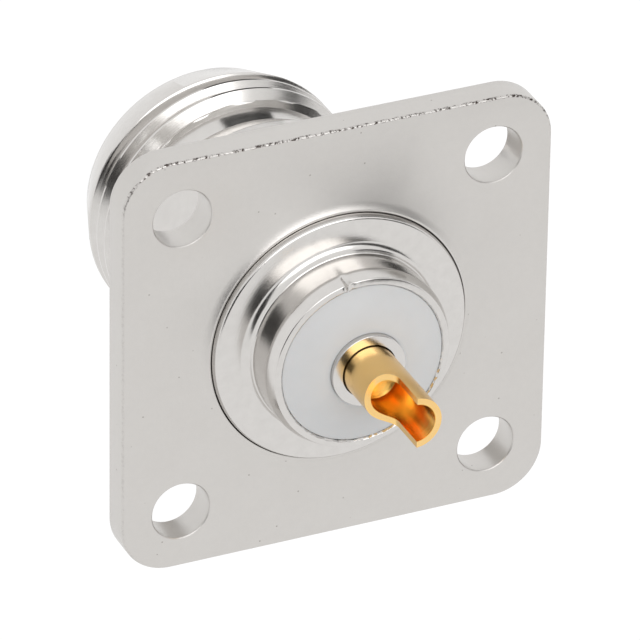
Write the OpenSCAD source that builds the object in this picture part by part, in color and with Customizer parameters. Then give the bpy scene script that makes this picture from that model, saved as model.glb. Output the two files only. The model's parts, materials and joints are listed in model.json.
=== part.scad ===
// N-type panel socket with a square four-hole flange and a solder cup, in mm.
//
// The connector's axis is Z. The origin is on the axis, in the flange's rear
// face, which seats against a panel. +Z runs to the solder cup, and the mating
// end with its thread points to -Z. X and Y run along the flange's edges.
//
// Five turned pieces sit inside one another on the axis, and the square flange
// is pressed over the body from behind and locked by the body's staked shoulder.

/* [Flange] */
// Side of the square flange
flange_side = 25.4; // [25.0:0.1:28]
// Thickness of the flange
flange_t = 1.9; // [1.2:0.1:3]
// Radius of the flange's four corners
flange_corner_r = 2.9; // [1.5:0.1:4]
// Spacing of the four mounting holes, the same both ways
hole_spacing = 18.4; // [18.2:0.1:19.2]
// Diameter of the mounting holes
hole_d = 3.4; // [2.6:0.05:3.5]
// Height of the lip that staking raises round the flange's bore
stake_lip_h = 0.28; // [0.1:0.02:0.4]

/* [Body behind the flange] */
// Diameter of the body where it passes through the flange
seat_d = 15.2; // [14.6:0.1:15.4]
// Height of the staked shoulder above the flange's rear face
shoulder_h = 0.62; // [0.45:0.01:0.75]
// Diameter of the boss that holds the rear insulator
boss_d = 10.9; // [10.6:0.1:11.2]
// Height of the boss's crimped rim above the flange's rear face
boss_h = 3.5; // [3.2:0.05:4]
// Diameter of the insulator's pocket in the boss
pocket_d = 9.64; // [9.5:0.02:9.7]

/* [Barrel in front of the flange] */
// Distance from the flange's rear face to the mating rim
barrel_length = 18.8; // [18.4:0.1:20]
// Major diameter of the coupling thread, 5/8 inch
thread_d = 15.875; // [15.6:0.025:16]
// Distance from the mating rim to the end of the thread
thread_end = 5.5; // [5:0.1:6]
// Length of the lead-in cone in front of the thread
nose_length = 2.6; // [2:0.1:3]
// Outer diameter of the mating rim
rim_d = 13.96; // [13.4:0.02:14.4]
// Width of the undercut behind the thread
undercut_w = 1.4; // [1:0.1:1.8]
// Diameter of the undercut, just below the thread's root
undercut_d = 14.4; // [14:0.1:14.6]

/* [Mating interface] */
// Diameter of the socket that takes the plug's outer contact
socket_d = 8.13; // [8.03:0.01:8.2]
// Depth of the shoulder that the plug's outer contact meets
socket_depth = 9.1; // [9.04:0.01:9.19]
// Inner diameter of the outer conductor behind that shoulder
conductor_d = 7; // [6.8:0.1:7.2]
// Distance from the mating rim to the tip of the centre contact
contact_setback = 3.9; // [3.5:0.1:4.2]
// Diameter of the slotted part of the centre contact
contact_d = 3.04; // [2.9:0.02:3.2]
// Diameter of the hole that takes the plug's pin
pin_hole_d = 1.68; // [1.6:0.02:1.8]
// Width of the four slots in the centre contact
slot_w = 0.36; // [0.25:0.01:0.45]
// Length of the four slots
slot_length = 4; // [3:0.1:4.5]

/* [Solder cup] */
// Diameter of the contact from the insulator to the cup's tip
cup_d = 3.06; // [2.9:0.02:3.16]
// Height of the cup's tip above the flange's rear face
cup_tip = 10.35; // [9.5:0.05:11.5]
// Diameter of the wire hole
wire_d = 2.3; // [1.8:0.05:2.4]
// Depth of the wire hole, to the start of its drill point
wire_depth = 5; // [4:0.1:5.5]
// Length of the half that is milled open, measured from the tip
scoop_length = 3.3; // [2.8:0.1:3.6]
// Radius where the milled opening turns up to the full tube
scoop_r = 1.1; // [0.8:0.05:1.2]

/* [Ring round the contact] */
// Outer diameter of the small ring that stands on the insulator
ring_d = 4.32; // [4.1:0.02:4.6]
// Hole of that ring, which clears the contact
ring_hole_d = 3.38; // [3.3:0.02:3.6]
// Height of the ring's face above the flange's rear face
ring_top = 4.35; // [4.25:0.05:4.6]

/* [Hidden] */
$fn = 96;
eps = 0.01;                           // overshoot of a cut
slip = 0.02;                          // clearance between pieces that slide together
edge_c = 0.12;                        // broken edge of the flange and of turned corners

flange_reach = flange_side / 2 - flange_corner_r;
stake_lip_w = 0.55;                   // width of the raised lip on the flange

mating_z = -barrel_length;
nose_z = mating_z + nose_length;
thread_end_z = mating_z + thread_end;
thread_c = 0.35;                      // length of the thread's runout
undercut_z = thread_end_z + undercut_w;
hub_z = undercut_z + 1.7;             // where the cone behind the undercut ends

seat_r = seat_d / 2;
seat_c = 0.45;                        // width of the staked shoulder's chamfer
boss_r = boss_d / 2;
fillet_r = 1.04;                      // hollow sweep from the shoulder to the boss
fillet_h = 0.35;                      // its height, to the fine ridge where it stops
ridge_r = boss_r + 0.07;
ridge_z = shoulder_h + fillet_h;
fillet_x = ridge_r + sqrt(fillet_r ^ 2 - (fillet_r - fillet_h) ^ 2);
boss_chamfer_z = boss_h - 1.15;       // start of the boss's rolled-in end
crimp_r = pocket_d / 2 - 0.06;        // opening left by the crimped rim
boss_rim_r = crimp_r + 0.34;

plug_stop_z = mating_z + socket_depth;
socket_c = 0.4;                       // width of the socket's lead-in
socket_lead_z = mating_z + 0.7;       // where that lead-in ends
bead_lip_z = plug_stop_z + 0.7;       // back of the lip that stops the front bead
bead_split_z = -4;                    // where the two insulators meet
front_bead_d = conductor_d + 0.8;
face_z = boss_h - 0.1;                // edge of the rear insulator's face
crown_z = ring_top - 0.3;             // its crown, next to the small ring
crown_h = crown_z - face_z;
crown_r = ring_d / 2 + 0.1;
ring_seat_z = face_z - 0.1;

collar_d = 4.4;                       // shoulder of the contact, inside the beads
collar_w = 1;
contact_tip_z = mating_z + contact_setback;
pin_hole_depth = 5.2;
pin_mouth_c = 0.25;                   // lead-in of the pin hole
scoop_x = 0.08;                       // how far past the axis the milling reaches
wire_floor_z = cup_tip - wire_depth;
drill_point_h = 0.6;

// A turned disc or bar: radius r, from z0 to z1, both ends broken by c.
module turned(r, z0, z1, c = edge_c) {
    rotate_extrude()
        polygon([[0, z0], [r - c, z0], [r, z0 + c], [r, z1 - c], [r - c, z1], [0, z1]]);
}

// A bar with the flange's section, w long in X and the full side in Y.
module flange_bar(w) {
    s = flange_side / 2;
    rotate([90, 0, 90])
        linear_extrude(w, center = true)
            polygon([[-s, -flange_t + edge_c], [-s + edge_c, -flange_t],
                     [s - edge_c, -flange_t], [s, -flange_t + edge_c],
                     [s, -edge_c], [s - edge_c, 0], [-s + edge_c, 0], [-s, -edge_c]]);
}

// The square plate: two crossed bars and a round corner at each end.
module flange_blank() {
    flange_bar(2 * flange_reach);
    rotate([0, 0, 90]) flange_bar(2 * flange_reach);
    for (x = [-1, 1], y = [-1, 1])
        translate([x * flange_reach, y * flange_reach, 0])
            turned(flange_corner_r, -flange_t, 0);
}

// The lip that staking pushes up round the bore, sloping down to the plate.
module stake_lip() {
    rotate_extrude()
        polygon([[seat_r - 1, -0.5], [seat_r + stake_lip_w, -0.5], [seat_r + stake_lip_w, 0],
                 [seat_r + 0.12, stake_lip_h - 0.03], [seat_r, stake_lip_h],
                 [seat_r - 1, stake_lip_h]]);
}

module flange_plate() {
    color("silver")
    difference() {
        union() {
            flange_blank();
            stake_lip();
        }
        translate([0, 0, -flange_t - 1]) cylinder(d = seat_d, h = flange_t + 2);
        for (x = [-1, 1], y = [-1, 1])
            translate([x * hole_spacing / 2, y * hole_spacing / 2, -flange_t - 1])
                cylinder(d = hole_d, h = flange_t + 2);
    }
}

// Outside of the body, from the mating rim back to the staked shoulder.
module body_barrel() {
    thread_r = thread_d / 2;
    rotate_extrude()
        polygon([[0, mating_z], [rim_d / 2 - edge_c, mating_z], [rim_d / 2, mating_z + edge_c],
                 [thread_r, nose_z], [thread_r, thread_end_z - thread_c],
                 [undercut_d / 2, thread_end_z], [undercut_d / 2, undercut_z],
                 [thread_r, hub_z], [thread_r, -flange_t], [seat_r - slip, -flange_t],
                 [seat_r - slip, stake_lip_h], [seat_r - seat_c, shoulder_h],
                 [0, shoulder_h]]);
}

// The boss behind the shoulder, its hollow sweep, and its rolled-in rim.
module body_boss() {
    difference() {
        translate([0, 0, shoulder_h - slip]) cylinder(r = fillet_x, h = fillet_h + slip);
        rotate_extrude()
            translate([fillet_x, shoulder_h + fillet_r]) circle(r = fillet_r);
    }
    rotate_extrude()
        polygon([[0, shoulder_h - slip], [boss_r, shoulder_h - slip], [boss_r, boss_chamfer_z],
                 [boss_rim_r + 0.04, boss_h - 0.08], [boss_rim_r - 0.06, boss_h], [0, boss_h]]);
}

// Everything bored out of the body, from the mating rim to the crimped rim.
module body_bore() {
    rotate_extrude()
        polygon([[0, mating_z - 1], [socket_d / 2 + socket_c, mating_z - 1],
                 [socket_d / 2 + socket_c, mating_z], [socket_d / 2, socket_lead_z],
                 [socket_d / 2, plug_stop_z], [conductor_d / 2, plug_stop_z],
                 [conductor_d / 2, bead_lip_z], [front_bead_d / 2, bead_lip_z],
                 [front_bead_d / 2, bead_split_z], [pocket_d / 2, bead_split_z],
                 [pocket_d / 2, face_z - 0.3], [crimp_r, face_z], [crimp_r, boss_h - 0.04],
                 [crimp_r + 0.04, boss_h], [crimp_r + 0.04, boss_h + 1], [0, boss_h + 1]]);
}

// A small dent in the crimped rim, as a V across its edge.
module rim_nick() {
    rotate([0, 0, 101])
        translate([crimp_r + 0.3, 0, boss_h + 0.02])
            rotate([0, 30, 0]) rotate([45, 0, 0])
                cube([0.9, 0.34, 0.34], center = true);
}

module threaded_body() {
    color("silver")
    difference() {
        union() {
            body_barrel();
            body_boss();
        }
        body_bore();
        rim_nick();
    }
}

// The rear insulator: its face is crowned, and crimped in at the edge.
module rear_insulator() {
    r = pocket_d / 2 - slip;
    edge_r = crimp_r - slip;
    color("white")
    difference() {
        rotate_extrude()
            polygon([[0, bead_split_z], [r, bead_split_z], [r, face_z - 0.3 - slip],
                     [edge_r, face_z - slip], [crown_r + 1.4, face_z + 0.55 * crown_h],
                     [crown_r + 0.6, face_z + 0.85 * crown_h], [crown_r, crown_z],
                     [0, crown_z]]);
        translate([0, 0, bead_split_z - 1])
            cylinder(d = cup_d + slip, h = ring_top - bead_split_z + 2);
        translate([0, 0, bead_split_z - 1]) cylinder(d = collar_d + slip, h = 1 + collar_w);
        translate([0, 0, ring_seat_z]) cylinder(d = ring_d, h = 2);
    }
}

module front_insulator() {
    color("white")
    difference() {
        translate([0, 0, bead_lip_z])
            cylinder(d = front_bead_d - slip, h = bead_split_z - bead_lip_z);
        translate([0, 0, bead_lip_z - 1])
            cylinder(d = contact_d + slip, h = bead_split_z - bead_lip_z + 2);
    }
}

// The small ring that stands round the contact, seated in the insulator.
module contact_ring() {
    color("silver")
    difference() {
        turned(ring_d / 2, ring_seat_z, ring_top, 0.05);
        translate([0, 0, ring_seat_z - 1]) cylinder(d = ring_hole_d, h = 3);
    }
}

// The mating end of the contact: a pin hole with a broken mouth, and four slots.
module contact_socket_cut() {
    translate([0, 0, contact_tip_z - 1]) cylinder(d = pin_hole_d, h = 1 + pin_hole_depth);
    translate([0, 0, contact_tip_z - eps])
        cylinder(r1 = pin_hole_d / 2 + pin_mouth_c, r2 = pin_hole_d / 2, h = pin_mouth_c);
    for (a = [0, 90])
        rotate([0, 0, a])
            translate([-contact_d, -slot_w / 2, contact_tip_z - 1])
                cube([2 * contact_d, slot_w, 1 + slot_length]);
}

// The opening milled in the cup: it faces -X and turns up round scoop_r.
module scoop_cut() {
    bottom_z = cup_tip - scoop_length;
    rotate([90, 0, 0])
        linear_extrude(2 * cup_d, center = true) {
            translate([scoop_x - scoop_r, bottom_z + scoop_r]) circle(r = scoop_r);
            translate([-2 * cup_d, bottom_z])
                square([2 * cup_d + scoop_x - scoop_r, scoop_length + 1]);
            translate([-2 * cup_d, bottom_z + scoop_r])
                square([2 * cup_d + scoop_x, scoop_length - scoop_r + 1]);
        }
}

module centre_contact() {
    color("gold")
    difference() {
        union() {
            turned(contact_d / 2, contact_tip_z, bead_split_z + 0.5, 0.15);
            translate([0, 0, bead_split_z]) cylinder(d = collar_d, h = collar_w);
            turned(cup_d / 2, bead_split_z + 0.2, cup_tip, 0.04);
        }
        contact_socket_cut();
        translate([0, 0, wire_floor_z]) cylinder(d = wire_d, h = wire_depth + 1);
        translate([0, 0, wire_floor_z - drill_point_h + eps])
            cylinder(r1 = 0.1, r2 = wire_d / 2, h = drill_point_h);
        scoop_cut();
    }
}

flange_plate();
threaded_body();
rear_insulator();
front_insulator();
contact_ring();
centre_contact();
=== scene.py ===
# %% [markdown]
# # A panel socket with a solder cup
#
# This notebook dresses the model of a coaxial panel connector: a square nickel-plated
# flange, a threaded barrel in front of it, a crimped boss with a white insulator behind
# it, and a gold-plated solder cup on the axis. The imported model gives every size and
# place, so the first cell loads it and keeps its box. Everything that follows is made in
# the same frame, in metres, with the connector's axis on Z.

# %% Load the model
import math

import bmesh
import bpy
from mathutils import Matrix, Vector, noise
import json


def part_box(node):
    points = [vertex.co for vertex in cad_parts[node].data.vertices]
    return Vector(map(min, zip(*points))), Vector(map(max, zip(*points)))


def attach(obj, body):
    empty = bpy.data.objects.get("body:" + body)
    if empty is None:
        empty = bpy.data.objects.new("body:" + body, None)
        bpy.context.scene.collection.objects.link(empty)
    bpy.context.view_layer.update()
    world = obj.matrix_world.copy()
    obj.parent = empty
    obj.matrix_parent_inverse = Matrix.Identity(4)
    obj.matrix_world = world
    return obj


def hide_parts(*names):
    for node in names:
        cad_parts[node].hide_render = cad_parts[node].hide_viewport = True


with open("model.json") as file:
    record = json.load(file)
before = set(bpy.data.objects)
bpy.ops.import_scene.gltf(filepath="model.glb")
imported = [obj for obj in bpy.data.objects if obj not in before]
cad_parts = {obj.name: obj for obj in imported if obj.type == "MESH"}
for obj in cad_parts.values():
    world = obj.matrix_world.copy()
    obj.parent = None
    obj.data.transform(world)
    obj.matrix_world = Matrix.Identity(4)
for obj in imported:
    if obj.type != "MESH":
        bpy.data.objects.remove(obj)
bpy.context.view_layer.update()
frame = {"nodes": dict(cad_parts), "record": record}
print("nodes:", ", ".join(sorted(frame["nodes"])))

# %% [markdown]
# A connector is a few centimetres long, so its sizes read best in millimetres. `MM` turns
# them into Blender's metres at the moment a vertex is made. The sizes that other cells
# need are read from the model: the mounts give the hole pattern, the thread and the bores,
# and the nodes' boxes give the heights where one piece ends and the next begins.

# %% Sizes from the model
MM = 0.001
mounts = {mount["name"]: mount for mount in frame["record"]["mounts"]}


def low(node, axis=2):
    """The lowest coordinate of a node, in mm."""
    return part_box(node)[0][axis] / MM


def high(node, axis=2):
    """The highest coordinate of a node, in mm."""
    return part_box(node)[1][axis] / MM


rim_z = low("threaded_body")
boss_z = high("threaded_body")
flange_half = high("flange_plate", 0)
flange_front = mounts["panel_seat"]["pos_m"][2] / MM + low("flange_plate")
lip_z = high("flange_plate")
hole_x = mounts["panel_holes"]["dims"]["spacing_x_mm"] / 2
hole_r = mounts["panel_holes"]["dims"]["hole_r_mm"]
thread_r = mounts["coupling_thread"]["dims"]["r_mm"]
socket_r = mounts["plug_socket"]["dims"]["r_mm"]
pin_hole_r = mounts["contact_socket"]["dims"]["r_mm"]
wire_hole_r = mounts["wire_hole"]["dims"]["r_mm"]
cup_z = high("centre_contact")
contact_z = low("centre_contact")
print(f"flange {2 * flange_half:.1f} mm square, from {rim_z:.1f} to {cup_z:.2f} mm along the axis")

# %% [markdown]
# The camera looks at the solder side from above the flange's upper left corner, through a
# long lens, so that the parallel edges of the flange stay almost parallel. It is placed by
# two angles, a distance and a roll about its own line of sight. Turning about Z first, then
# tipping, then rolling is the order that a photographer uses on a tripod.

# %% Camera
CAMERA_AZIMUTH = 125.364
CAMERA_ELEVATION = 51.827
CAMERA_ROLL = 138.827
CAMERA_DISTANCE = 427.2
AIM = Vector((-0.696, 0.627, -0.718))


def direction(azimuth, elevation):
    """A unit vector from angles in degrees: azimuth from +X towards +Y."""
    a, e = math.radians(azimuth), math.radians(elevation)
    return Vector((math.cos(a) * math.cos(e), math.sin(a) * math.cos(e), math.sin(e)))


def facing(azimuth, elevation, roll=0.0):
    """The rotation of a camera or lamp that stands in that direction and looks back."""
    turn_z = Matrix.Rotation(math.radians(azimuth + 90), 4, "Z")
    tip = Matrix.Rotation(math.radians(90 - elevation), 4, "X")
    return turn_z @ tip @ Matrix.Rotation(math.radians(roll), 4, "Z")


lens = bpy.data.cameras.new("camera")
lens.lens = 440.09
lens.sensor_width = 36
camera = bpy.data.objects.new("camera", lens)
bpy.context.scene.collection.objects.link(camera)
spot = (AIM + direction(CAMERA_AZIMUTH, CAMERA_ELEVATION) * CAMERA_DISTANCE) * MM
camera.matrix_world = Matrix.Translation(spot) @ facing(
    CAMERA_AZIMUTH, CAMERA_ELEVATION, CAMERA_ROLL
)
bpy.context.scene.camera = camera
print(f"camera {spot.length:.3f} m away, {lens.lens:.0f} mm lens")

# %% [markdown]
# Materials are small programs of nodes. Wiring them by hand takes many lines, so one class,
# `Field`, wraps an output socket, and its arithmetic adds the Math nodes: `1 - mask * 0.5`
# reads as it looks. `Finish` holds one material. Its `node` method is the only way in which
# any other node is made: it takes the node's type, the settings that are made first, and
# the values or links of its input sockets.


# %% Shader helpers
class Field:
    """A number or colour that varies over a surface."""

    def __init__(self, finish, socket):
        self.finish = finish
        self.socket = socket

    def math(self, operation, *others):
        return self.finish.node("Math", {"operation": operation}, (self, *others))

    def __add__(self, other):
        return self.math("ADD", other)

    def __sub__(self, other):
        return self.math("SUBTRACT", other)

    def __mul__(self, other):
        return self.math("MULTIPLY", other)

    def __rsub__(self, other):
        return self.finish.node("Math", {"operation": "SUBTRACT"}, (other, self))

    __radd__ = __add__
    __rmul__ = __mul__


class Finish:
    """One material, or the world, and everything that its nodes need."""

    def __init__(self, name, world=False):
        library = bpy.data.worlds if world else bpy.data.materials
        self.block = library.new(name)
        self.block.use_nodes = True
        self.tree = self.block.node_tree
        self.tree.nodes.clear()

    def node(self, kind, settings=None, inputs=(), output=0):
        """Add a node: settings first, then its inputs by place or by name."""
        made = self.tree.nodes.new("ShaderNode" + kind)
        for name, value in (settings or {}).items():
            setattr(made, name, value)
        pairs = inputs.items() if isinstance(inputs, dict) else enumerate(inputs)
        for key, value in pairs:
            if isinstance(value, Field):
                self.tree.links.new(value.socket, made.inputs[key])
            elif value is not None:
                made.inputs[key].default_value = value
        return Field(self, made.outputs[output]) if made.outputs else None

    def place(self):
        """Where a point of the piece is, in mm."""
        coordinates = self.node("TexCoord", output="Object")
        return self.node(
            "VectorMath", {"operation": "SCALE"}, {0: coordinates, "Scale": 1 / MM}
        )

    def parts(self, vector):
        """The x, y and z of a vector."""
        first = self.node("SeparateXYZ", None, (vector,))
        rest = first.socket.node.outputs
        return first, Field(self, rest[1]), Field(self, rest[2])

    def point(self, x, y, z):
        return self.node("CombineXYZ", None, (x, y, z))

    def noise(self, vector, scale, detail=2.0, roughness=0.5):
        """Soft noise from 0 to 1, with scale waves to the mm."""
        inputs = {"Vector": vector, "Scale": scale, "Detail": detail, "Roughness": roughness}
        return self.node("TexNoise", None, inputs)

    def ramp(self, value, start, end):
        """0 below start and 1 above end, with a soft step between."""
        settings = {"interpolation_type": "SMOOTHSTEP"}
        inputs = {"Value": value, "From Min": start, "From Max": end}
        return self.node("MapRange", settings, inputs)

    def mix(self, share, one, other):
        """A colour between two colours."""
        inputs = {"Factor": share, "A": one, "B": other}
        made = self.node("Mix", {"data_type": "RGBA"}, ())
        mixer = made.socket.node
        for name, value in inputs.items():
            socket = next(s for s in mixer.inputs if s.name == name and s.enabled)
            if isinstance(value, Field):
                self.tree.links.new(value.socket, socket)
            else:
                socket.default_value = value
        return Field(self, next(s for s in mixer.outputs if s.enabled))

    def bump(self, height, depth, normal=None):
        """A normal from a height of 0 to 1 that stands for depth mm."""
        inputs = {"Height": height, "Distance": depth * MM, "Strength": 1.0, "Normal": normal}
        return self.node("Bump", None, inputs)

    def surface(self, **inputs):
        """Finish the material with a Principled shader; names match its sockets."""
        named = {name.replace("_", " "): value for name, value in inputs.items()}
        shader = self.node("BsdfPrincipled", None, named)
        self.node("OutputMaterial", None, {"Surface": shader})
        return self.block


print("shader helpers ready")

# %% [markdown]
# The studio is a white tent. The world is white for the camera and for reflections, and a
# little lower for soft light on matt surfaces. Polished metal in a plain white tent looks
# like plaster, so black cards stand at both sides and low down, and two small ones lie on
# the floor beside the barrel: only reflections see them, and they are the dark bands in
# the metal. One large lamp above the flange's upper edge gives direction. The floor is
# white to the camera and keeps a faint shadow.

# %% Studio
TENT_LEVEL = 0.58
FLOOR_SHADOW_SHARE = 0.12
bpy.context.scene.view_settings.view_transform = "Standard"


def studio_object(name, mesh, finish):
    """A floor or card: part of the studio and not of the connector."""
    thing = bpy.data.objects.new(name, mesh)
    bpy.context.scene.collection.objects.link(thing)
    mesh.materials.append(finish)
    return thing


def seen_rays(finish):
    """1 for the camera and for reflections, 0 for soft light."""
    path = finish.node("LightPath", output="Is Camera Ray")
    outputs = path.socket.node.outputs
    glossy = Field(finish, outputs["Is Glossy Ray"])
    through = Field(finish, outputs["Is Transmission Ray"])
    return path.math("MAXIMUM", glossy).math("MAXIMUM", through)


tent = Finish("tent", world=True)
tent_light = tent.node(
    "Background",
    None,
    {"Color": (1, 1, 1, 1), "Strength": seen_rays(tent) * (1 - TENT_LEVEL) + TENT_LEVEL},
)
tent.node("OutputWorld", None, {"Surface": tent_light})
bpy.context.scene.world = tent.block

paper = Finish("floor_paper")
glow = paper.node(
    "Emission",
    None,
    {"Color": (1, 1, 1, 1), "Strength": 1.1},
)
matt = paper.node("BsdfDiffuse", None, {"Color": (0.8, 0.8, 0.8, 1)})
lit = paper.node("MixShader", None, (FLOOR_SHADOW_SHARE, glow, matt))
plain = paper.node("BsdfDiffuse", None, {"Color": (0.8, 0.8, 0.8, 1)})
shown = paper.node("MixShader", None, (seen_rays(paper), plain, lit))
paper.node("OutputMaterial", None, {"Surface": shown})

bm = bmesh.new()
bmesh.ops.create_grid(bm, x_segments=1, y_segments=1, size=6.0)
bmesh.ops.translate(bm, verts=bm.verts, vec=(0, 0, (rim_z - 0.02) * MM))
floor_mesh = bpy.data.meshes.new("floor")
bm.to_mesh(floor_mesh)
bm.free()
studio_object("floor", floor_mesh, paper.block)

black = Finish("black_card")
card_finish = black.surface(Base_Color=(0.012, 0.01, 0.009, 1), Roughness=0.9)


def black_card(name, azimuth, elevation, width, height, distance=330.0):
    """A card that only reflections see, turned to face the connector."""
    bm = bmesh.new()
    bmesh.ops.create_grid(bm, x_segments=1, y_segments=1, size=0.5)
    bmesh.ops.scale(bm, verts=bm.verts, vec=(width * MM, height * MM, 1))
    place = Matrix.Translation(direction(azimuth, elevation) * distance * MM)
    bmesh.ops.transform(bm, verts=bm.verts, matrix=place @ facing(azimuth, elevation))
    mesh = bpy.data.meshes.new(name)
    bm.to_mesh(mesh)
    bm.free()
    card = studio_object(name, mesh, card_finish)
    card.visible_camera = False
    card.visible_diffuse = False
    card.visible_shadow = False
    return card


def floor_card(name, azimuth, radius, across, along, level):
    """A small card on the floor, whose reflection darkens the barrel's side."""
    bm = bmesh.new()
    bmesh.ops.create_grid(bm, x_segments=1, y_segments=1, size=0.5)
    bmesh.ops.scale(bm, verts=bm.verts, vec=(along * MM, across * MM, 1))
    bmesh.ops.translate(bm, verts=bm.verts, vec=(radius * MM, 0, (rim_z - 0.01) * MM))
    turned = Matrix.Rotation(math.radians(azimuth), 3, "Z")
    bmesh.ops.rotate(bm, verts=bm.verts, matrix=turned)
    mesh = bpy.data.meshes.new(name)
    bm.to_mesh(mesh)
    bm.free()
    shade = Finish(name).surface(Base_Color=(level, level, level, 1), Roughness=0.9)
    card = studio_object(name, mesh, shade)
    card.visible_camera = False
    card.visible_diffuse = False
    card.visible_shadow = False


black_card("card_left", azimuth=173, elevation=53, width=170, height=290)
black_card("card_right", azimuth=12, elevation=50, width=115, height=230)
black_card("card_low", azimuth=42, elevation=6, width=210, height=90)
floor_card("floor_card_right", azimuth=76, radius=10.9, across=6.4, along=2.8, level=0.01)
floor_card("floor_card_left", azimuth=158, radius=11.0, across=3.0, along=2.6, level=0.05)


def lamp(name, azimuth, elevation, width, height, power, distance=420.0):
    """A soft lamp that faces the connector."""
    light = bpy.data.lights.new(name, "AREA")
    light.shape = "RECTANGLE"
    light.size = width * MM
    light.size_y = height * MM
    light.energy = power
    thing = bpy.data.objects.new(name, light)
    bpy.context.scene.collection.objects.link(thing)
    place = Matrix.Translation(direction(azimuth, elevation) * distance * MM)
    thing.matrix_world = place @ facing(azimuth, elevation)
    return thing


lamp("key_lamp", azimuth=88, elevation=56, width=380, height=260, power=0.5)
print("studio: tent, floor, three cards, two floor cards and one lamp")

# %% [markdown]
# Every round piece of a connector comes off a lathe, so most shapes here are made like
# turned work: half of the section is drawn as a chain of points, radius and height, and
# the chain is spun round Z. `soften` rounds the chain's corners first, because no real
# edge is sharp, and the fine light on a small radius is what makes an edge look real.

# %% Turning helpers
STEPS = 256


def soften(corners, segments=4):
    """A chain of (radius, height, round) corners in mm, with each corner rounded."""
    chain = []
    for i, corner in enumerate(corners):
        here, r = Vector(corner[:2]), (corner[2] if len(corner) > 2 else 0)
        if not r or i in (0, len(corners) - 1):
            chain.append(here)
            continue
        back = (Vector(corners[i - 1][:2]) - here).normalized()
        ahead = (Vector(corners[i + 1][:2]) - here).normalized()
        half = back.angle(ahead) / 2
        centre = here + (back + ahead).normalized() * (r / math.sin(half))
        start = here + back * (r / math.tan(half)) - centre
        end = here + ahead * (r / math.tan(half)) - centre
        for k in range(segments + 1):
            arm = start.slerp(end, k / segments).normalized() * r
            chain.append(centre + arm)
    return chain


def turn(bm, chain, closed=True, steps=STEPS):
    """Spin a chain of (radius, height) points in mm round Z."""
    verts = [bm.verts.new((p[0] * MM, 0, p[1] * MM)) for p in chain]
    pairs = list(zip(verts, verts[1:])) + ([(verts[-1], verts[0])] if closed else [])
    edges = [bm.edges.new(pair) for pair in pairs]
    bmesh.ops.spin(
        bm,
        geom=verts + edges,
        cent=(0, 0, 0),
        axis=(0, 0, 1),
        angle=2 * math.pi,
        steps=steps,
        use_merge=True,
    )


def weld(bm, gap=0.0005):
    """Join vertices that lie together, in mm, and turn every face outwards."""
    bmesh.ops.remove_doubles(bm, verts=bm.verts, dist=gap * MM)
    bmesh.ops.dissolve_degenerate(bm, edges=bm.edges, dist=gap * MM / 10)
    bmesh.ops.recalc_face_normals(bm, faces=bm.faces)


def make_piece(name, bm, finish, slot, *nodes):
    """Turn a bmesh into a smooth piece that stands for the named nodes."""
    open_edges = sum(1 for edge in bm.edges if not edge.is_manifold)
    for face in bm.faces:
        face.smooth = True
    mesh = bpy.data.meshes.new(name)
    bm.to_mesh(mesh)
    bm.free()
    mesh.set_sharp_from_angle(angle=math.radians(38))
    mesh.materials.append(finish)
    piece = bpy.data.objects.new(name, mesh)
    bpy.context.scene.collection.objects.link(piece)
    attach(piece, "root")
    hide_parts(*nodes)
    print(f"{name}: {len(mesh.polygons)} faces, {open_edges} open edges")
    return piece


# %% [markdown]
# Nickel plate over brass is a warm, light metal. On the stamped flange it is satin: the plate was
# tumbled before plating, so it has a fine frosted grain and small pits. The grain goes into the
# roughness and a very shallow bump, and the pits are cells of a Voronoi pattern of which only the
# smallest spots are kept.

# %% Satin nickel
CORNER_R = 2.9


def satin_nickel():
    finish = Finish("satin_nickel")
    place = finish.place()
    x, y, z = finish.parts(place)
    clouds = finish.noise(place, 0.3, 3.0)
    mottle = finish.noise(place, 2.2, 4.0, 0.7)
    grain = finish.noise(place, 9.0, 4.0, 0.65)
    cells = {"Vector": place, "Scale": 0.9, "Randomness": 1.0}
    pit_distance = finish.node("TexVoronoi", None, cells)
    pits = 1 - finish.ramp(pit_distance, 0.025, 0.06)
    straight = flange_half - CORNER_R
    beside = x.math("ABSOLUTE").math("SUBTRACT", straight).math("MAXIMUM", 0.0)
    above = y.math("ABSOLUTE").math("SUBTRACT", straight).math("MAXIMUM", 0.0)
    outward = finish.node(
        "VectorMath", {"operation": "LENGTH"}, (finish.point(beside, above, 0),), "Value"
    )
    rim = finish.ramp(outward, CORNER_R - 0.15, CORNER_R - 0.08) * finish.ramp(z, -0.2, -0.1)
    burr = rim * (finish.ramp(y, 9.6, 11.8) * 0.9 + 0.1)
    torn = finish.noise(place, 5.0, 3.0, 0.75)
    specks = finish.ramp(torn, 0.48, 0.6)
    colour = finish.mix(clouds, (0.63, 0.608, 0.583, 1), (0.67, 0.65, 0.625, 1))
    colour = finish.mix(mottle, finish.mix(0.94, (0, 0, 0, 1), colour), colour)
    colour = finish.mix(pits * 0.6, colour, (0.22, 0.19, 0.17, 1))
    colour = finish.mix(burr * specks, colour, (0.06, 0.045, 0.04, 1))
    height = mottle * 0.5 + grain * 0.5 - pits * 0.7 + burr * torn * 3
    return finish.surface(
        Base_Color=colour,
        Metallic=1.0,
        Roughness=grain * 0.14 + clouds * 0.06 + 0.24,
        Normal=finish.bump(height, 0.009),
    )


SATIN = satin_nickel()
print("satin nickel")

# %% [markdown]
# The body is turned brass with bright nickel on it. What the eye reads as "turned" is a
# set of very fine rings round the axis, so the noise is asked only about the radius and
# the height of a point, never about its angle. A little plain noise breaks the rings up.

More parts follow.
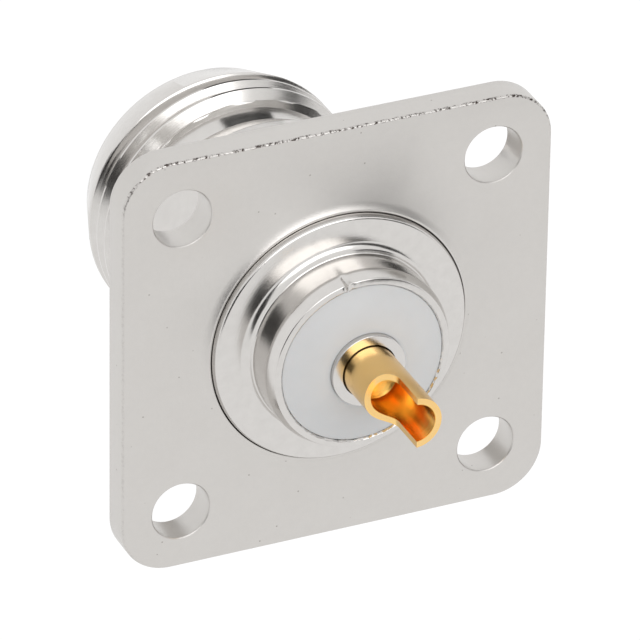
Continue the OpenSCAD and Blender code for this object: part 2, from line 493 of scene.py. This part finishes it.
# %% Bright nickel
def bright_nickel():
    finish = Finish("bright_nickel")
    place = finish.place()
    x, y, z = finish.parts(place)
    radius = finish.node("VectorMath", {"operation": "LENGTH"}, (finish.point(x, y, 0),), "Value")
    rings = finish.noise(finish.point(radius, z, 0), 14.0, 3.0, 0.6)
    blotches = finish.noise(place, 1.6, 3.0)
    grain = finish.noise(place, 22.0, 2.0)
    colour = finish.mix(blotches, (0.62, 0.60, 0.58, 1), (0.70, 0.682, 0.66, 1))
    return finish.surface(
        Base_Color=colour,
        Metallic=1.0,
        Roughness=rings * 0.08 + blotches * 0.05 + 0.12,
        Normal=finish.bump(rings * 0.7 + grain * 0.3, 0.0025),
    )


BRIGHT = bright_nickel()
print("bright nickel")

# %% [markdown]
# Gold plate takes its depth from its own reflections: light that bounces three or four times
# inside the cup turns from pale gold to deep orange. The bore's base colour is also painted a
# deeper orange, as a painted reflection of those bounces. The bore keeps the marks of the drill,
# as rings along its depth.

# %% Gold plate
def gold_plate():
    finish = Finish("gold_plate")
    place = finish.place()
    x, y, z = finish.parts(place)
    radius = finish.node("VectorMath", {"operation": "LENGTH"}, (finish.point(x, y, 0),), "Value")
    # the bore's mask drives both the drill rings in the bump and the painted reflection of bounce
    # light in the colour
    bore_rings_and_painted_bounce = 1 - finish.ramp(radius, wire_hole_r + 0.01, wire_hole_r + 0.05)
    rings = finish.noise(finish.point(radius, z, 0), 9.0, 2.0, 0.6)
    grain = finish.noise(place, 16.0, 3.0)
    clouds = finish.noise(place, 1.2, 2.0)
    colour = finish.mix(clouds, (0.90, 0.58, 0.22, 1), (0.95, 0.65, 0.28, 1))
    # painted reflection: the bore is tinted deep orange, standing in for light that bounces inside
    # the cup
    colour = finish.mix(bore_rings_and_painted_bounce * 0.75, colour, (0.98, 0.56, 0.12, 1))
    height = rings * (bore_rings_and_painted_bounce * 1.2 + 0.1) + grain * 0.2
    return finish.surface(
        Base_Color=colour,
        Metallic=1.0,
        Roughness=grain * 0.08 + clouds * 0.05 + 0.17,
        Normal=finish.bump(height, 0.006),
    )


GOLD = gold_plate()
print("gold plate")

# %% [markdown]
# The insulator is PTFE, a waxy white plastic. Light goes a little way into it, which the
# shader's subsurface weight gives, and its faced surface has a faint mottle.

# %% White PTFE
def white_ptfe():
    finish = Finish("white_ptfe")
    place = finish.place()
    clouds = finish.noise(place, 1.1, 3.0)
    grain = finish.noise(place, 12.0, 2.0)
    colour = finish.mix(clouds, (0.755, 0.76, 0.765, 1), (0.795, 0.80, 0.805, 1))
    return finish.surface(
        Base_Color=colour,
        Roughness=grain * 0.1 + 0.33,
        Subsurface_Weight=0.25,
        Subsurface_Radius=(0.6, 0.5, 0.45),
        Subsurface_Scale=0.4 * MM,
        Normal=finish.bump(grain, 0.004),
    )


WHITE = white_ptfe()
print("white PTFE")

# %% [markdown]
# The flange is punched from sheet. Its outline is one face whose four corners are
# rounded with a vertex bevel. Extruding that face gives the walls, and small insets that
# also sink or rise give the rounded rims: an inset keeps the same distance from the
# outline everywhere, straight or curved. The holes are turned walls, and a triangle fill
# closes the flat faces between all the loops.

# %% Flange
RIM_R = 0.14
RIM_STEPS = 4
SEAT_R = 7.6
LIP_W = 0.55


def round_in(bm, face, radius, steps):
    """Round the rim of a face: insets that follow a quarter circle."""
    for k in range(steps):
        a, b = (math.pi / 2 * s / steps for s in (k, k + 1))
        bmesh.ops.inset_individual(
            bm,
            faces=[face],
            thickness=radius * (math.cos(a) - math.cos(b)) * MM,
            depth=radius * (math.sin(b) - math.sin(a)) * MM,
        )


def wall(bm, x, y, chain, steps):
    """Turn a hole's wall round an axis at x, y."""
    part = bmesh.new()
    turn(part, chain, closed=False, steps=steps)
    bmesh.ops.translate(part, verts=part.verts, vec=(x * MM, y * MM, 0))
    mesh = bpy.data.meshes.new("wall")
    part.to_mesh(mesh)
    part.free()
    bm.from_mesh(mesh)
    bpy.data.meshes.remove(mesh)


def fill_flat(bm, z):
    """Close the flat between all the open loops at one height."""
    loops = [
        e for e in bm.edges
        if e.is_boundary and all(abs(v.co.z - z * MM) < 1e-7 for v in e.verts)
    ]
    bmesh.ops.triangle_fill(bm, use_beauty=True, use_dissolve=False, edges=loops)


bm = bmesh.new()
bmesh.ops.create_grid(bm, x_segments=1, y_segments=1, size=flange_half * MM)
bmesh.ops.bevel(
    bm,
    geom=bm.verts[:],
    offset=CORNER_R * MM,
    offset_type="OFFSET",
    affect="VERTICES",
    segments=20,
    profile=0.5,
    material=-1,
)
long_edges = [e for e in bm.edges if e.calc_length() > CORNER_R * MM]
bmesh.ops.subdivide_edges(bm, edges=long_edges, cuts=149)
bmesh.ops.translate(bm, verts=bm.verts, vec=(0, 0, (flange_front + RIM_R) * MM))
outline = bm.faces[:][0]
lower = bmesh.ops.extrude_face_region(bm, geom=[outline], use_keep_orig=True)
upper = next(g for g in lower["geom"] if isinstance(g, bmesh.types.BMFace))
bmesh.ops.translate(bm, verts=upper.verts, vec=(0, 0, (-flange_front - 2 * RIM_R) * MM))
bmesh.ops.recalc_face_normals(bm, faces=bm.faces)
for face in (upper, outline):
    round_in(bm, face, RIM_R, RIM_STEPS)
bmesh.ops.delete(bm, geom=[upper, outline], context="FACES_ONLY")

hole_wall = soften(
    [
        (hole_r + 0.06, 0.0),
        (hole_r, -0.06, 0.05),
        (hole_r, flange_front + 0.04, 0.03),
        (hole_r + 0.04, flange_front),
    ]
)
for x in (-hole_x, hole_x):
    for y in (-hole_x, hole_x):
        wall(bm, x, y, hole_wall, 96)
lip_wall = soften(
    [
        (SEAT_R + LIP_W, 0.0),
        (SEAT_R + 0.12, lip_z - 0.02, 0.1),
        (SEAT_R, lip_z - 0.03, 0.02),
        (SEAT_R, flange_front),
    ]
)
wall(bm, 0, 0, lip_wall, STEPS)
fill_flat(bm, 0.0)
fill_flat(bm, flange_front)
weld(bm)
make_piece("flange", bm, SATIN, "nickel_satin", "flange_plate")

# %% [markdown]
# The barrel's thread is a real helix. A lathe cuts it by moving along the axis while the
# work turns, and bmesh's spin does the same when `dvec` lifts each step a little: one
# upright row of vertices becomes a sheet whose rows climb by one pitch a turn, and where
# the sheet closes, each row meets the row one pitch further on. Then every vertex is set
# to the thread's radius at its angle and height. Rows past either end are pressed onto
# the end, where the weld removes them.

# %% Thread shape
PITCH = 25.4 / 24
THREAD_DEPTH = 0.62
ROWS_PER_PITCH = 32
CREST_HALF = 1 / 16
FLANK = 11 / 32
CREST_Z = -15.557
NOSE_Z = rim_z + 2.6
THREAD_END_Z = rim_z + 5.5
RUNOUT = 0.35
UNDERCUT_R = 7.2


def thread_radius(angle, z):
    """The thread's radius in mm, with its fade at the nose and its runout."""
    turns = (z - CREST_Z) / PITCH - angle / (2 * math.pi)
    off_crest = abs(turns - round(turns))
    groove = min(max((off_crest - CREST_HALF) / FLANK, 0.0), 1.0)
    fade = min(max((z - NOSE_Z) / 0.22, 0.0), 1.0)
    cut = thread_r - THREAD_DEPTH * groove * fade
    runout = UNDERCUT_R + (thread_r - UNDERCUT_R) * (THREAD_END_Z - z) / RUNOUT
    return max(min(cut, runout), UNDERCUT_R)


def thread_sheet(bm):
    """The helical sheet between the nose cone and the undercut."""
    row = PITCH / ROWS_PER_PITCH
    first = math.floor((NOSE_Z - PITCH - CREST_Z) / row)
    last = math.ceil((THREAD_END_Z - CREST_Z) / row)
    part = bmesh.new()
    verts = [part.verts.new((thread_r * MM, 0, (CREST_Z + k * row) * MM))
             for k in range(first, last + 1)]
    edges = [part.edges.new(pair) for pair in zip(verts, verts[1:])]
    bmesh.ops.spin(
        part,
        geom=verts + edges,
        cent=(0, 0, 0),
        axis=(0, 0, 1),
        dvec=(0, 0, PITCH * MM / STEPS),
        angle=2 * math.pi,
        steps=STEPS,
        use_merge=False,
    )
    bmesh.ops.remove_doubles(part, verts=part.verts, dist=0.001 * MM)
    for vert in part.verts:
        angle = math.atan2(vert.co.y, vert.co.x)
        z = min(max(vert.co.z / MM, NOSE_Z), THREAD_END_Z)
        r = thread_radius(angle, z) * MM
        vert.co = (math.cos(angle) * r, math.sin(angle) * r, z * MM)
    mesh = bpy.data.meshes.new("sheet")
    part.to_mesh(mesh)
    part.free()
    bm.from_mesh(mesh)
    bpy.data.meshes.remove(mesh)


print(f"thread: {(THREAD_END_Z - NOSE_Z) / PITCH:.1f} turns of {PITCH:.3f} mm pitch")

# %% [markdown]
# The rest of the body is one turned section. From the mating rim it runs up the nose
# cone; past the thread it goes on through the undercut, a second cone and the hub. Behind
# the flange comes the shoulder that staking swaged over, a hollow sweep that ends in a
# fine ridge, and the boss, whose thin end is rolled in over the insulator. The section
# then goes down inside, through the pocket, the stop shoulder and the plug's socket.
# Rolling leaves a ragged inner edge and here one small nick, so those are pushed into
# the finished mesh with noise and a narrow dent.

# %% Threaded body
BOSS_R = 5.45
RIDGE_Z = 0.97
SWEEP_R = 0.55
SWEEP_X = 6.03
SHOULDER_Z = 0.62
CRIMP_R = 4.76
PLUG_STOP_Z = rim_z + 9.1
RAGGED_W = 0.36
NICK_ANGLE = 101
NICK_HALF_W = 0.17
NICK_LENGTH = 0.9
NICK_IN = 0.24
NICK_DOWN = 0.16
CURL_OUT = 0.07


def sweep_points(count=8):
    """The hollow quarter from the shoulder up to the ridge."""
    top = math.acos(1 - (RIDGE_Z - SHOULDER_Z) / SWEEP_R)
    angles = [top * k / count for k in range(count + 1)]
    return [
        (SWEEP_X - SWEEP_R * math.sin(a), SHOULDER_Z + SWEEP_R * (1 - math.cos(a)))
        for a in angles
    ]


section = [
    (UNDERCUT_R, THREAD_END_Z),
    (UNDERCUT_R, THREAD_END_Z + 1.4, 0.05),
    (thread_r, THREAD_END_Z + 3.1, 0.15),
    (thread_r, flange_front - 0.02),
    (SEAT_R - 0.03, flange_front - 0.02),
    (SEAT_R - 0.03, 0.2),
    (SEAT_R - 0.17, SHOULDER_Z, 0.2),
    *sweep_points(),
    (BOSS_R + 0.045, RIDGE_Z + 0.035),
    (BOSS_R, RIDGE_Z + 0.06),
    (BOSS_R, RIDGE_Z + 0.5),
    (BOSS_R, 2.75, 0.7),
    (CRIMP_R + 0.42, boss_z - 0.08, 0.1),
    (CRIMP_R + 0.1, boss_z, 0.05),
    (CRIMP_R, boss_z - 0.12, 0.03),
    (4.82, 3.1),
    (4.82, -4.0),
    (3.9, -4.0),
    (3.9, -9.0),
    (3.5, -9.0),
    (3.5, PLUG_STOP_Z, 0.05),
    (socket_r, PLUG_STOP_Z),
    (socket_r, rim_z + 0.7, 0.1),
    (socket_r + 0.4, rim_z, 0.05),
    (6.98, rim_z, 0.1),
    (thread_r, NOSE_Z),
]


def roughen_crimp(vert):
    """Ragged inner edge of the rolled rim, coarser on its lower side."""
    x, y, z = (c / MM for c in vert.co)
    r = math.hypot(x, y)
    if r > CRIMP_R + RAGGED_W or r < CRIMP_R - 0.01 or z < boss_z - 0.2:
        return
    angle = math.atan2(y, x)
    rag = noise.noise(Vector((math.cos(angle) * 38, math.sin(angle) * 38, z * 5)))
    fine = noise.noise(Vector((math.cos(angle) * 110, math.sin(angle) * 110, z * 9)))
    lower = 0.35 + 0.65 * max(0.0, math.sin(-angle + 0.3))
    near = max(0.0, 1 - (r - CRIMP_R) / RAGGED_W)
    shift = (rag * 0.06 + fine * 0.05) * lower * near
    vert.co.x *= (r + shift) / r
    vert.co.y *= (r + shift) / r
    vert.co.z = min(vert.co.z - abs(fine) * 0.05 * lower * MM, boss_z * MM)


def press_nick(vert):
    """A V-shaped dent over the rim, with the metal it moved curled up beside it."""
    x, y, z = (c / MM for c in vert.co)
    r = math.hypot(x, y)
    if r < CRIMP_R - 0.02 or r > BOSS_R + 0.02 or z < boss_z - NICK_LENGTH:
        return
    along = math.radians(1) * (math.degrees(math.atan2(y, x)) - NICK_ANGLE) * r
    up = z - boss_z + NICK_LENGTH
    depth = max(0.0, 1 - abs(along) / NICK_HALF_W) * min(1.0, up / 0.7)
    curl = math.exp(-(((along + 0.26) / 0.1) ** 2)) * min(1.0, up / NICK_LENGTH)
    shift = -NICK_IN * depth + CURL_OUT * curl
    vert.co.x *= (r + shift) / r
    vert.co.y *= (r + shift) / r
    vert.co.z = min((z - NICK_DOWN * depth) * MM, boss_z * MM)


bm = bmesh.new()
turn(bm, soften(section), closed=False)
thread_sheet(bm)
weld(bm, 0.001)
for vert in bm.verts:
    roughen_crimp(vert)
    press_nick(vert)
make_piece("body", bm, BRIGHT, "nickel_bright", "threaded_body")

# %% [markdown]
# The rear insulator's face is slightly crowned: crimping holds its edge down, and it
# rises towards the contact. A cosine gives that crown, flat at both ends. The small ring
# beside the contact is polished, so that the gold shows in it.

# %% Rear insulator and ring
BEAD_R = 4.8
BEAD_SPLIT_Z = -4.0
FACE_Z = 3.38
ring_r = high("contact_ring", 0)
ring_z = high("contact_ring")
ring_seat_z = low("contact_ring")
RING_HOLE_R = 1.6
CROWN_Z = ring_z - 0.3
CONTACT_R = 1.53

crown = []
for k in range(13):
    share = k / 12
    r = CRIMP_R - 0.02 - (CRIMP_R - ring_r - 0.12) * share
    crown.append((r, FACE_Z + (CROWN_Z - FACE_Z) * math.sin(share * math.pi / 2) ** 1.2))
bm = bmesh.new()
turn(
    bm,
    soften(
        [
            (CONTACT_R + 0.01, BEAD_SPLIT_Z),
            (BEAD_R, BEAD_SPLIT_Z),
            (BEAD_R, FACE_Z - 0.3),
            *crown,
            (ring_r + 0.01, CROWN_Z - 0.03, 0.02),
            (ring_r + 0.01, ring_seat_z),
            (CONTACT_R + 0.01, ring_seat_z),
        ]
    ),
)
weld(bm)
make_piece("bead", bm, WHITE, "ptfe", "rear_insulator")

bm = bmesh.new()
turn(
    bm,
    soften(
        [
            (RING_HOLE_R, ring_seat_z),
            (ring_r, ring_seat_z),
            (ring_r, ring_z, 0.05),
            (RING_HOLE_R, ring_z, 0.03),
        ]
    ),
)
weld(bm)
make_piece("ring", bm, BRIGHT, "nickel_bright", "contact_ring")

# %% [markdown]
# The contact is one turned pin, bored at both ends. Three cutters finish it: two crossed
# slots make the springs of the mating end, and the milled scoop opens half of the solder
# cup. The cutters are meshes of their own, the Boolean modifier subtracts them, and the
# result is applied, so that the cutters can go. A bevel then breaks every sharp edge.

# %% Centre contact
COLLAR_R = 2.2
WIRE_FLOOR_Z = cup_z - 5.0
SCOOP_X = 0.08
SCOOP_R = 1.1
SCOOP_Z = cup_z - 3.3
SLOT_W = 0.36
SLOT_L = 4.0
PIN_HOLE_L = 5.2

bm = bmesh.new()
turn(
    bm,
    soften(
        [
            (0, contact_z + PIN_HOLE_L),
            (pin_hole_r, contact_z + PIN_HOLE_L),
            (pin_hole_r, contact_z + 0.25),
            (pin_hole_r + 0.25, contact_z, 0.04),
            (CONTACT_R - 0.01, contact_z, 0.15),
            (CONTACT_R - 0.01, BEAD_SPLIT_Z),
            (COLLAR_R, BEAD_SPLIT_Z),
            (COLLAR_R, BEAD_SPLIT_Z + 1),
            (CONTACT_R, BEAD_SPLIT_Z + 1),
            (CONTACT_R, cup_z),
            (wire_hole_r, cup_z),
            (wire_hole_r, WIRE_FLOOR_Z),
            (0, WIRE_FLOOR_Z - 0.6),
        ]
    ),
    closed=False,
    steps=128,
)
weld(bm)
contact = make_piece("contact", bm, GOLD, "gold_plate", "centre_contact")


def cutter(bm):
    """A closed mesh to subtract from the contact."""
    bmesh.ops.recalc_face_normals(bm, faces=bm.faces)
    mesh = bpy.data.meshes.new("cutter")
    bm.to_mesh(mesh)
    bm.free()
    thing = bpy.data.objects.new("cutter", mesh)
    bpy.context.scene.collection.objects.link(thing)
    return thing


def slot_cutter(turned):
    bm = bmesh.new()
    bmesh.ops.create_cube(bm, size=1.0)
    size = (4 * CONTACT_R * MM, SLOT_W * MM, 2 * SLOT_L * MM)
    bmesh.ops.scale(bm, verts=bm.verts, vec=size)
    bmesh.ops.rotate(bm, verts=bm.verts, matrix=Matrix.Rotation(turned, 3, "Z"))
    bmesh.ops.translate(bm, verts=bm.verts, vec=(0, 0, contact_z * MM))
    return cutter(bm)


def scoop_cutter():
    """The milled opening: a block whose lower corner is rounded."""
    bm = bmesh.new()
    bmesh.ops.create_cube(bm, size=1.0)
    bmesh.ops.scale(bm, verts=bm.verts, vec=(4 * MM, 5 * MM, 6 * MM))
    centre = ((SCOOP_X - 2) * MM, 0, (SCOOP_Z + 3) * MM)
    bmesh.ops.translate(bm, verts=bm.verts, vec=centre)
    corner = [
        e for e in bm.edges
        if all(v.co.x > 0 and v.co.z < (SCOOP_Z + 1) * MM for v in e.verts)
    ]
    bmesh.ops.bevel(
        bm,
        geom=corner,
        offset=SCOOP_R * MM,
        offset_type="OFFSET",
        affect="EDGES",
        segments=16,
        profile=0.5,
        material=-1,
    )
    return cutter(bm)


def subtract(piece, cutters):
    """Subtract each cutter, keep the result as the piece's own mesh."""
    for tool in cutters:
        modifier = piece.modifiers.new("cut", "BOOLEAN")
        modifier.operation = "DIFFERENCE"
        modifier.solver = "EXACT"
        modifier.object = tool
    graph = bpy.context.evaluated_depsgraph_get()
    result = bpy.data.meshes.new_from_object(piece.evaluated_get(graph))
    piece.modifiers.clear()
    piece.data = result
    for tool in cutters:
        bpy.data.objects.remove(tool)


subtract(contact, [slot_cutter(0), slot_cutter(math.pi / 2), scoop_cutter()])
edge_break = contact.modifiers.new("edge_break", "BEVEL")
edge_break.width = 0.045 * MM
edge_break.segments = 3
edge_break.limit_method = "ANGLE"
edge_break.angle_limit = math.radians(38)
edge_break.harden_normals = True
print(f"contact: {len(contact.data.polygons)} faces after the cuts")

# %% [markdown]
# The front insulator is only seen from the mating side, deep in the socket. Its packed
# shape is right as it is, so it just takes the white finish.

# %% Front insulator
front_bead = frame["nodes"]["front_insulator"]
front_bead.data.materials.clear()
front_bead.data.materials.append(WHITE)
print("front insulator finished")

# %% [markdown]

# %% Finish
import json
